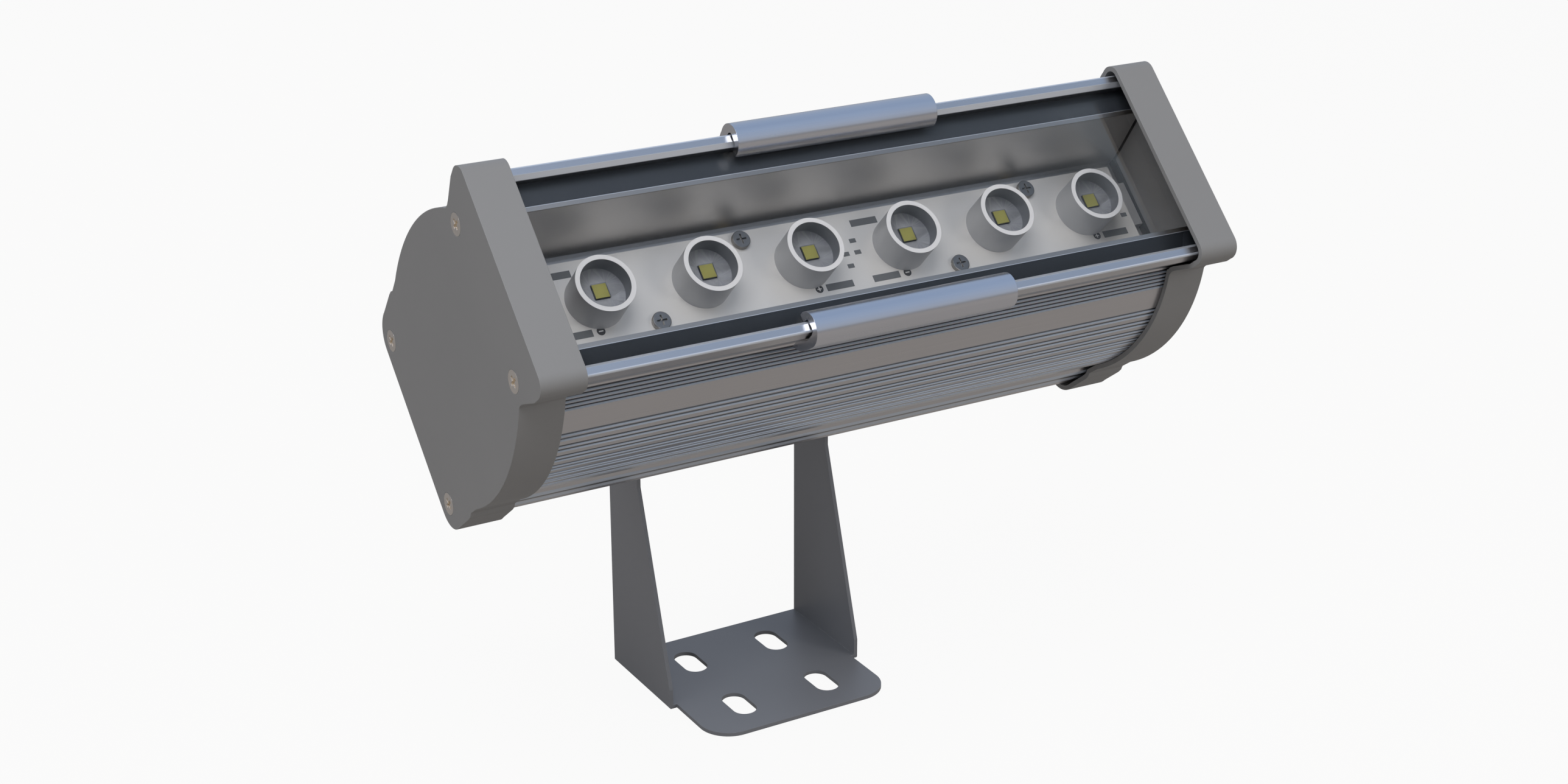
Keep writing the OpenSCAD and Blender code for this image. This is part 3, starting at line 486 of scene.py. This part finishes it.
def boardFinish():
    board = Finish("boardWhite")
    place = board.place()
    weave = board.noise(place, boardLook["weaveScale"])
    broad = board.noise(place, boardLook["broadScale"])
    colour = board.mixColour(broad, boardLook["colour"], boardLook["darker"])
    bump = board.node("ShaderNodeBump", None, {
        "Strength": boardLook["bump"], "Distance": boardLook["bumpDistance"], "Height": weave})
    shader = board.node("ShaderNodeBsdfPrincipled", None, {
        "Base Color": colour, "Metallic": boardLook["metallic"],
        "Roughness": boardLook["roughness"] + weave * boardLook["rougher"], "Normal": bump})
    return board.finish(shader)


# Yellow phosphor on top of the LEDs, and their grey sides
phosphorLook = {
    "colour": rgb(201, 194, 101),
    "darker": rgb(189, 181, 86),
    "topDepth": 32.45 * mm,
    "side": rgb(140, 141, 143),
    "roughness": 0.45,
    "rougher": 0.05,
    "grainScale": 1500,
    "broadScale": 160,
    "bump": 0.1,
    "bumpDistance": 0.03 * mm,
}


def phosphorFinish():
    phosphor = Finish("ledPhosphor")
    place = phosphor.place()
    grain = phosphor.noise(place, phosphorLook["grainScale"])
    broad = phosphor.noise(place, phosphorLook["broadScale"])
    top = phosphor.mixColour(broad, phosphorLook["colour"], phosphorLook["darker"])
    belowTop = phosphor.depthAndHalf()[0] > phosphorLook["topDepth"]
    bump = phosphor.node("ShaderNodeBump", None, {
        "Strength": phosphorLook["bump"], "Distance": phosphorLook["bumpDistance"], "Height": grain})
    shader = phosphor.node("ShaderNodeBsdfPrincipled", None, {
        "Base Color": phosphor.mixColour(belowTop, top, phosphorLook["side"]),
        "Roughness": phosphorLook["roughness"] + grain * phosphorLook["rougher"], "Normal": bump})
    return phosphor.finish(shader)


# Flat pane: clear straight through, with a plain reflection
paneLook = {
    "tint": rgb(250, 250, 250),
    "mirror": rgb(250, 238, 220),
    "ior": 1.45,
    "roughness": 0.03,
    "reflection": 0.17,
    "smudgeScale": 40,
    "smudgeRougher": 0.02,
}


# Optics that fill the tubes: their flat front bends the view, and the rest lets it straight through
opticLook = {
    "tint": rgb(243, 244, 246),
    "mirror": rgb(255, 248, 236),
    "ior": 1.49,
    "roughness": 0.05,
    "reflection": 0.3,
    "smudgeScale": 300,
    "smudgeRougher": 0.02,
    "frontDepth": 22.5 * mm,
}


def clearFinish(name, look):
    clear = Finish(name)
    sheen = clear.node("ShaderNodeFresnel", None, {"IOR": look["ior"]}) * look["reflection"]
    smudge = clear.noise(clear.place(), look["smudgeScale"], detail=3)
    through = clear.node("ShaderNodeBsdfTransparent", None, {"Color": look["tint"]})
    gloss = clear.node("ShaderNodeBsdfPrincipled", None, {
        "Base Color": look["mirror"], "Metallic": 1.0,
        "Roughness": look["roughness"] + smudge * look["smudgeRougher"]})
    if "frontDepth" in look:
        bent = clear.node("ShaderNodeBsdfRefraction", None, {
            "Color": look["tint"], "Roughness": 0.0, "IOR": look["ior"]})
        front = 1 - (clear.depthAndHalf()[0] > look["frontDepth"])
        shadow = clear.node("ShaderNodeLightPath", output="Is Shadow Ray")
        diffuse = clear.node("ShaderNodeLightPath", output="Is Diffuse Ray")
        sheen = sheen * front
        through = clear.node("ShaderNodeMixShader", None, {
            0: front * (1 - shadow) * (1 - diffuse), 1: through, 2: bent})
    shader = clear.node("ShaderNodeMixShader", None, {0: sheen, 1: through, 2: gloss})
    return clear.finish(shader)


finishes = {
    "capPaint": paintFinish("capPaint", capPaint),
    "sheetPaint": paintFinish("sheetPaint", sheetPaint),
    "boardWhite": boardFinish(),
    "ledPhosphor": phosphorFinish(),
    "paneGlass": clearFinish("paneGlass", paneLook),
    "clearOptic": clearFinish("clearOptic", opticLook),
    "collimatorSatin": tubeFinish(),
}
for name in metalLooks:
    finishes[name] = metalFinish(name)
for name in softLooks:
    finishes[name] = softFinish(name)

nodeFinishes = {
    "bracket": "sheetPaint", "pivot_bolts": "boltSteel", "pivot_washers": "boltSteel",
    "friction_discs": "frictionFibre", "pivot_nuts": "boltSteel",
    "yoke": "sheetPaint", "yoke_screws": "boltSteel", "yoke_slide_nuts": "boltSteel",
    "housing_profile": "profileAluminium", "end_cap_left": "capPaint", "end_cap_right": "capPaint",
    "cap_gasket_left": "gasketRubber", "cap_gasket_right": "gasketRubber",
    "cap_screws_left": "screwSteel", "cap_screws_right": "screwSteel",
    "front_glass": "paneGlass", "glass_seal_upper": "sealSilicone", "glass_seal_lower": "sealSilicone",
    "rail_sleeve_upper": "sleeveAluminium", "rail_sleeve_lower": "sleeveAluminium",
    "led_board": "boardWhite", "thermal_pad": "thermalFilm", "board_screws": "boardScrewSteel",
    "board_spacers": "spacerBrass", "led_packages": "ledPhosphor",
    "board_wires": "wireCover", "wire_grommet": "gasketRubber",
    "driver_board": "driverGreen", "driver_parts": "driverBlack", "driver_standoffs": "spacerBrass",
    "driver_screws": "boltSteel",
    "gland_body": "glandNickel", "gland_bush": "gasketRubber", "gland_dome_nut": "glandNickel",
    "gland_lock_nut": "glandNickel",
}
for number in range(1, 7):
    nodeFinishes["collimator_%d" % number] = "collimatorSatin"
    nodeFinishes["lens_%d" % number] = "clearOptic"

for name, finish in nodeFinishes.items():
    nodes[name].data.materials.clear()
    nodes[name].data.materials.append(finishes[finish])
print("finishes given to", len(nodeFinishes), "nodes")


def deselectAll():
    if bpy.context.object and bpy.context.object.mode != "OBJECT":
        bpy.ops.object.mode_set(mode="OBJECT")
    bpy.ops.object.select_all(action="DESELECT")


# Puts a piece made in the lamp's own frame where the lamp is, and lets it ride there
def seatInLamp(piece, name, finish):
    deselectAll()
    piece.select_set(True)
    bpy.context.view_layer.objects.active = piece
    piece.matrix_world = lampMatrix @ piece.matrix_world
    bpy.ops.object.transform_apply(location=True, rotation=True, scale=True)
    piece.name = name
    piece.data.name = name
    piece.data.materials.clear()
    piece.data.materials.append(finishes[finish])
    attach(piece, "housing")


def joinPieces(pieces):
    deselectAll()
    for piece in pieces:
        piece.select_set(True)
    bpy.context.view_layer.objects.active = pieces[0]
    bpy.ops.object.join()
    return bpy.context.object


# The board's face, in the lamp's own frame
boardFace = -35.65 * mm


# Copies of a finished piece, each with its own mesh, at places on the board in millimetres
def copyToPlaces(piece, places):
    copies = []
    model = piece.data
    for along, across in places:
        deselectAll()
        piece.select_set(True)
        bpy.context.view_layer.objects.active = piece
        bpy.ops.object.duplicate()
        copy = bpy.context.object
        copy.location = (along * mm, across * mm, 0)
        bpy.ops.object.transform_apply(location=True, rotation=False, scale=False)
        copies.append(copy)
    bpy.data.objects.remove(piece)
    bpy.data.meshes.remove(model)
    return copies


# A flat block with its edges taken off, whose middle lies that high over the board's face
def makeBlock(size, middleHeight, bevelShare, segments):
    deselectAll()
    bpy.ops.mesh.primitive_cube_add(size=1, location=(0, 0, boardFace + middleHeight))
    block = bpy.context.object
    block.scale = size
    bpy.ops.object.transform_apply(location=True, rotation=False, scale=True)
    bevel = block.modifiers.new("softEdges", "BEVEL")
    bevel.width = size[2] * bevelShare
    bevel.segments = segments
    bpy.ops.object.modifier_apply(modifier=bevel.name)
    return block


# Solder pads on the board
boardPads = {
    "height": 0.04 * mm,
    "bevelShare": 0.4,
    "wideSize": (11.5 * mm, 2.8 * mm),
    "widePlaces": [(-3.5, -11.8), (122.3, -11.8), (16.65, -11.8), (-109.45, -11.8),
                   (16.65, 11.8), (-109.45, 11.8)],
    "smallSize": (2.75 * mm, 1.75 * mm),
    "smallPlaces": [(8.95, 4.9), (9.15, 0), (4.1, 0), (4.1, -5.0), (129.8, -5.05), (129.8, 0)],
}


def makePads(size, places):
    pad = makeBlock((*size, boardPads["height"]), boardPads["height"] / 2, boardPads["bevelShare"], 1)
    return copyToPlaces(pad, places)


pads = makePads(boardPads["wideSize"], boardPads["widePlaces"])
pads += makePads(boardPads["smallSize"], boardPads["smallPlaces"])
seatInLamp(joinPieces(pads), "boardPads", "padTin")
print("board pads made:", len(pads))


# Round polarity marks: a dark disc with a pale plus or minus
polarityMarks = {
    "sides": 32,
    "radius": 1.6 * mm,
    "ridge": 0.12 * mm,
    "sunkShare": 0.5,
    "barLength": 1.7 * mm,
    "barWidth": 0.4 * mm,
    "bevelShare": 0.3,
    "height": 0.03 * mm,
    "plusPlaces": [(-12.3, -11.7), (113.5, -11.7)],
    "minusPlaces": [(25.8, -11.7), (-100.5, -11.7)],
}


# The disc's top is sunk inside a narrow ridge
def makeMarkDisc():
    height = polarityMarks["height"]
    nearlyUp = 0.9
    deselectAll()
    bpy.ops.mesh.primitive_cylinder_add(
        vertices=polarityMarks["sides"], radius=polarityMarks["radius"], depth=height,
        location=(0, 0, boardFace + height / 2))
    disc = bpy.context.object
    bpy.ops.object.transform_apply(location=True, rotation=False, scale=True)
    bpy.ops.object.mode_set(mode="EDIT")
    bpy.ops.mesh.select_mode(type="FACE")
    bpy.ops.mesh.select_all(action="DESELECT")
    bpy.ops.object.mode_set(mode="OBJECT")
    for face in disc.data.polygons:
        face.select = face.normal.z > nearlyUp
    bpy.ops.object.mode_set(mode="EDIT")
    bpy.ops.mesh.inset(thickness=polarityMarks["ridge"], depth=0)
    bpy.ops.transform.translate(value=(0, 0, -height * polarityMarks["sunkShare"]))
    bpy.ops.object.mode_set(mode="OBJECT")
    return disc


def makeMarkBar(long, wide):
    height = polarityMarks["height"]
    return makeBlock((long, wide, height), height, polarityMarks["bevelShare"], 2)


markPlaces = polarityMarks["plusPlaces"] + polarityMarks["minusPlaces"]
barSize = (polarityMarks["barLength"], polarityMarks["barWidth"])
discs = copyToPlaces(makeMarkDisc(), markPlaces)
bars = copyToPlaces(makeMarkBar(*barSize), markPlaces)
bars += copyToPlaces(makeMarkBar(*reversed(barSize)), polarityMarks["plusPlaces"])
seatInLamp(joinPieces(discs), "markDiscs", "markInk")
seatInLamp(joinPieces(bars), "markSigns", "markWhite")
print("polarity marks made:", len(markPlaces))


# Camera at the photograph's place, for a frame of 2576 x 1288
cameraPlace = {
    "position": (-0.43675, -0.77040, 0.47387),
    "angles": (68.609, 0.061, -30.356),
    "lens": 54.65,
    "sensor": 36,
    "clipStart": 10 * mm,
}

camera = bpy.data.objects.new("photoCamera", bpy.data.cameras.new("photoCamera"))
bpy.context.scene.collection.objects.link(camera)
camera.data.sensor_width = cameraPlace["sensor"]
camera.data.sensor_fit = "HORIZONTAL"
camera.data.lens = cameraPlace["lens"]
camera.data.clip_start = cameraPlace["clipStart"]
camera.location = cameraPlace["position"]
camera.rotation_euler = Euler([math.radians(angle) for angle in cameraPlace["angles"]], "XYZ")
bpy.context.scene.camera = camera


# Pale floor: to the camera it is the white of the background, with a faint shadow
floorLook = {
    "size": 12,
    "drop": 0.4 * mm,
    "colour": rgb(164, 159, 154),
    "mirrored": rgb(132, 125, 119),
    "shadowShare": 0.06,
    "mirrorShare": 0.2,
}


def floorFinish():
    floor = Finish("paleFloor")
    straight = floor.node("ShaderNodeLightPath", output="Is Camera Ray")
    glossy = floor.node("ShaderNodeLightPath", output="Is Glossy Ray")
    through = floor.node("ShaderNodeLightPath", output="Is Transmission Ray")
    seen = floor.node("ShaderNodeMath", {"operation": "ADD", "use_clamp": True}, {
        0: straight + through, 1: glossy * floorLook["mirrorShare"]})
    lit = floor.node("ShaderNodeBsdfDiffuse", None, {"Color": floorLook["colour"]})
    mirrored = floor.node("ShaderNodeBsdfDiffuse", None, {"Color": floorLook["mirrored"]})
    plain = floor.node("ShaderNodeMixShader", None, {0: glossy, 1: lit, 2: mirrored})
    white = floor.node("ShaderNodeEmission", None, {"Color": rgb(255, 255, 255), "Strength": 1.0})
    shader = floor.node("ShaderNodeMixShader", None, {
        0: seen * (1 - floorLook["shadowShare"]), 1: plain, 2: white})
    return floor.finish(shader)


deselectAll()
bpy.ops.mesh.primitive_plane_add(size=floorLook["size"], location=(0, 0, cadBox[0][2] - floorLook["drop"]))
floor = bpy.context.object
floor.name = "studioFloor"
floor.data.materials.append(floorFinish())


# Soft studio light: a pale world that mirrors cool above and warm below, and five wide lamps
skyLook = {
    "light": [(0.0, rgb(112, 110, 108)), (0.5, rgb(154, 154, 154)), (1.0, rgb(150, 150, 152))],
    "mirror": [(0.0, rgb(112, 104, 98)), (0.47, rgb(128, 124, 122)), (0.53, rgb(182, 189, 200)),
               (0.75, rgb(176, 190, 212)), (0.9, rgb(166, 186, 214)), (1.0, rgb(146, 167, 200))],
}


def makeWorld():
    sky = Finish("studioWorld", bpy.data.worlds)
    bpy.context.scene.world = sky.owner
    direction = sky.node("ShaderNodeTexCoord", output="Generated")
    height = sky.node("ShaderNodeSeparateXYZ", None, {"Vector": direction}, output=2)
    # From -1 to 1 for straight down to straight up, the stops take 0 to 1
    rise = height * 0.5 + 0.5
    light = sky.node("ShaderNodeValToRGB", {"stops": skyLook["light"]}, {"Fac": rise})
    mirror = sky.node("ShaderNodeValToRGB", {"stops": skyLook["mirror"]}, {"Fac": rise})
    glossy = sky.node("ShaderNodeLightPath", output="Is Glossy Ray")
    lit = sky.node("ShaderNodeBackground", None, {
        "Color": sky.mixColour(glossy, light, mirror), "Strength": 1.0})
    white = sky.node("ShaderNodeBackground", None, {"Color": rgb(255, 255, 255), "Strength": 1.0})
    straight = sky.node("ShaderNodeLightPath", output="Is Camera Ray")
    through = sky.node("ShaderNodeLightPath", output="Is Transmission Ray")
    seen = sky.node("ShaderNodeMath", {"operation": "ADD", "use_clamp": True}, {0: straight, 1: through})
    shader = sky.node("ShaderNodeMixShader", None, {0: seen, 1: lit, 2: white})
    sky.node("ShaderNodeOutputWorld", None, {"Surface": shader})


makeWorld()

lampAim = Vector((0, 0, 0.18))
lamps = {
    "overhead": {"from": (-0.5, -0.6, 1.45), "size": 0.9, "watts": 13.5, "colour": rgb(250, 251, 255)},
    "leftFill": {"from": (-1.4, -0.4, 0.5), "size": 0.8, "watts": 4, "colour": rgb(250, 250, 252)},
    "front": {"from": (0.9, -1.3, 0.7), "size": 0.5, "watts": 6, "colour": rgb(255, 252, 248)},
    "rightFill": {"from": (1.3, -0.5, 0.8), "size": 0.8, "watts": 2.5, "colour": rgb(255, 250, 244)},
    "behind": {"from": (0.2, 1.3, 0.9), "size": 1.0, "watts": 5, "colour": rgb(240, 245, 255)},
}
for name, values in lamps.items():
    light = bpy.data.lights.new(name, "AREA")
    light.size = values["size"]
    light.energy = values["watts"]
    light.color = values["colour"][:3]
    lamp = bpy.data.objects.new(name, light)
    bpy.context.scene.collection.objects.link(lamp)
    lamp.visible_glossy = name == "overhead"
    lamp.location = values["from"]
    lamp.rotation_euler = (lampAim - lamp.location).to_track_quat("-Z", "Y").to_euler()

bpy.context.scene.view_settings.view_transform = "Standard"
print("camera, floor and light set")
